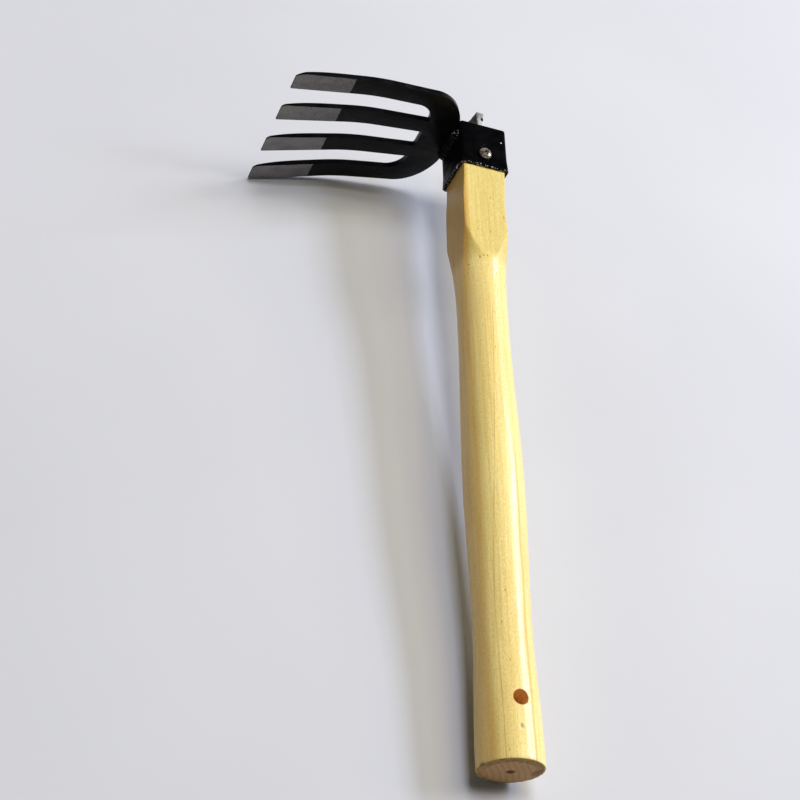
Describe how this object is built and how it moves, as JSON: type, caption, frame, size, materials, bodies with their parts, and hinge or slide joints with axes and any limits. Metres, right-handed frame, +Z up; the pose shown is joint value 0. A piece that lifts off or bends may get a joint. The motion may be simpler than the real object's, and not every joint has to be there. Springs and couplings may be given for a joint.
{
  "type": "hand rake",
  "caption": "Short hand rake: a bent fork head with flat tines, welded to a square socket that is wedged and screwed to a turned wooden handle.",
  "frame": {"origin": "centre of the footprint on the ground, with the rake lying on its side", "axes": "+Y along the handle towards the head, level with the ground; -X the way the tines reach; +Z up"},
  "size_m": [0.1546, 0.446, 0.0999],
  "materials": {
    "fork_paint": "gloss black paint, tine tips ground bare on the inner face",
    "socket_paint": "gloss black paint",
    "weld_paint": "rough weld under gloss black paint",
    "varnished_wood": "pale wood under clear varnish",
    "wedge_steel": "bare rough-cut steel",
    "screw_steel": "bright zinc plate"
  },
  "bodies": {
    "root": {"fork_head": "fork_paint", "socket": "socket_paint", "weld_bead_inner": "weld_paint", "weld_bead_outer": "weld_paint", "handle": "varnished_wood", "wedge": "wedge_steel", "socket_screw": "screw_steel"}
  },
  "joints": []
}
